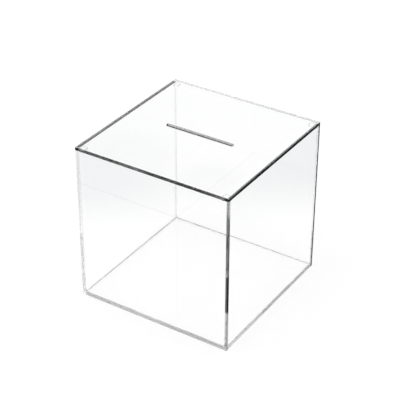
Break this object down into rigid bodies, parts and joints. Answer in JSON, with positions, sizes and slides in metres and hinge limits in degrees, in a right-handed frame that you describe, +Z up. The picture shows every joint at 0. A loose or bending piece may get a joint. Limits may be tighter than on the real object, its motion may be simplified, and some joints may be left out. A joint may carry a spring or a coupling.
{
  "type": "ballot box",
  "caption": "Clear acrylic cube that collects slips of paper through a centred slot in its loose, lift-off lid.",
  "frame": {"origin": "centre of the footprint, on the surface the box stands on", "axes": "+Z up through the lid, -Y out of the front, +X to the right along the slot"},
  "size_m": [0.3, 0.3, 0.3],
  "materials": {
    "clear_acrylic": "clear cast acrylic sheet, glossy faces and polished edges"
  },
  "bodies": {
    "box": {"base_panel": "clear_acrylic", "front_panel": "clear_acrylic", "back_panel": "clear_acrylic", "left_panel": "clear_acrylic", "right_panel": "clear_acrylic"},
    "lid": {"lid_panel": "clear_acrylic", "lid_locator_front_left": "clear_acrylic", "lid_locator_front_right": "clear_acrylic", "lid_locator_back_left": "clear_acrylic", "lid_locator_back_right": "clear_acrylic"}
  },
  "joints": [
    {"name": "lid_lift", "type": "slide", "parent": "box", "child": "lid", "axis": [0, 0, 1], "range_m": [0, 0.15]}
  ]
}
